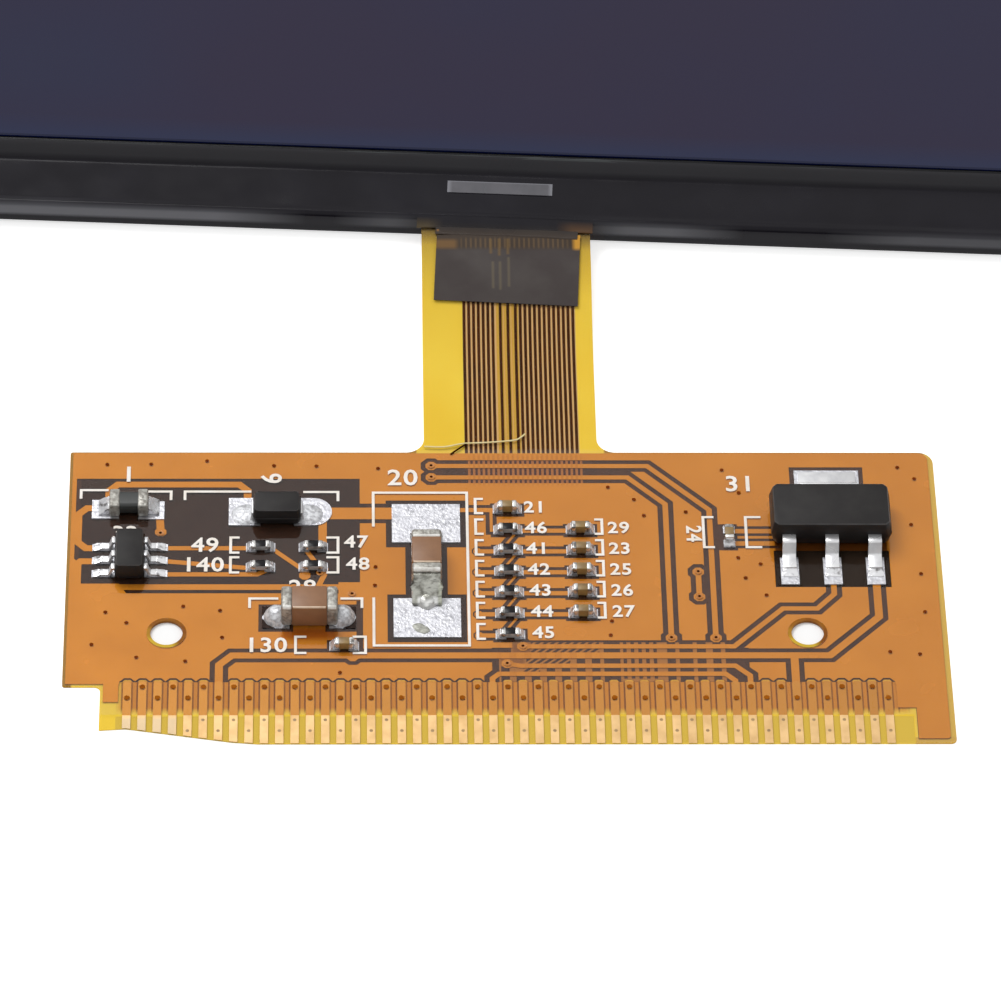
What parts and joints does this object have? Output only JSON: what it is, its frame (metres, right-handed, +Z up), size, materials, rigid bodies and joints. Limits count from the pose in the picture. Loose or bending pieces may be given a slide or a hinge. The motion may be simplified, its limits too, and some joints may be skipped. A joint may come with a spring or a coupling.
{
  "type": "car lcd monitor",
  "caption": "Dash display module: flat glass liquid crystal panel with a black-coated ledge, and a T-shaped film circuit with parts and edge contacts.",
  "frame": {"origin": "centre of the contact row at the film's cut edge, on the surface that the module lies on", "axes": "+X along the contact row to the right as seen from the contacts, +Y from the contacts towards the display, +Z up out of the parts' side"},
  "size_m": [0.0865, 0.0935, 0.0026],
  "materials": {
    "polarizer": "satin anti-glare film, dark navy",
    "glass": "polished, dark because of the films behind it",
    "seal_glue": "cured clear glue",
    "bare_die": "ground silicon, grey",
    "black_coat": "glossy black silicone",
    "bond_strip": "cured bonding film",
    "yellow_film": "glossy yellow polyimide",
    "dark_copper": "dark copper under film",
    "clear_film": "clear amber polyimide",
    "orange_copper": "copper seen through amber film",
    "gold_contact": "thin gold plate, satin",
    "patch": "grey-brown sticker, satin",
    "solder": "grainy bright solder",
    "white_print": "white ink",
    "package_black": "moulded epoxy, matte black",
    "tin_plate": "satin tin",
    "ferrite": "grey-brown ferrite, stands in for ceramic",
    "resistor_glaze": "black glaze on white ceramic",
    "capacitor_ceramic": "tan-brown fired ceramic"
  },
  "bodies": {
    "root": {"rear_polarizer": "polarizer", "rear_glass": "glass", "perimeter_seal": "seal_glue", "front_glass": "glass", "front_polarizer": "polarizer", "fill_port_plug": "seal_glue", "driver_chip": "bare_die", "ledge_coating": "black_coat", "tail_bond": "bond_strip", "back_coverlay": "yellow_film", "hole_rims": "clear_film", "back_copper": "dark_copper", "tail_traces": "dark_copper", "base_film": "clear_film", "front_copper": "orange_copper", "signal_traces": "orange_copper", "edge_contacts": "gold_contact", "front_coverlay": "clear_film", "tail_patch": "patch", "solder_pads": "solder", "solder_joints": "solder", "legend_marks": "white_print", "regulator_body": "package_black", "regulator_leads": "tin_plate", "converter_body": "package_black", "converter_leads": "tin_plate", "diode_body": "package_black", "diode_tabs": "tin_plate", "inductor_core": "ferrite", "inductor_caps": "tin_plate", "resistor_1": "resistor_glaze", "resistor_2": "resistor_glaze", "resistor_3": "resistor_glaze", "resistor_4": "resistor_glaze", "resistor_5": "resistor_glaze", "resistor_6": "resistor_glaze", "resistor_7": "resistor_glaze", "resistor_8": "resistor_glaze", "resistor_9": "resistor_glaze", "resistor_10": "resistor_glaze", "resistor_caps": "tin_plate", "capacitor_1": "capacitor_ceramic", "capacitor_2": "capacitor_ceramic", "capacitor_3": "capacitor_ceramic", "capacitor_4": "capacitor_ceramic", "capacitor_5": "capacitor_ceramic", "capacitor_6": "capacitor_ceramic", "capacitor_7": "capacitor_ceramic", "capacitor_8": "capacitor_ceramic", "capacitor_9": "capacitor_ceramic", "capacitor_10": "capacitor_ceramic", "capacitor_caps": "tin_plate"}
  },
  "joints": []
}
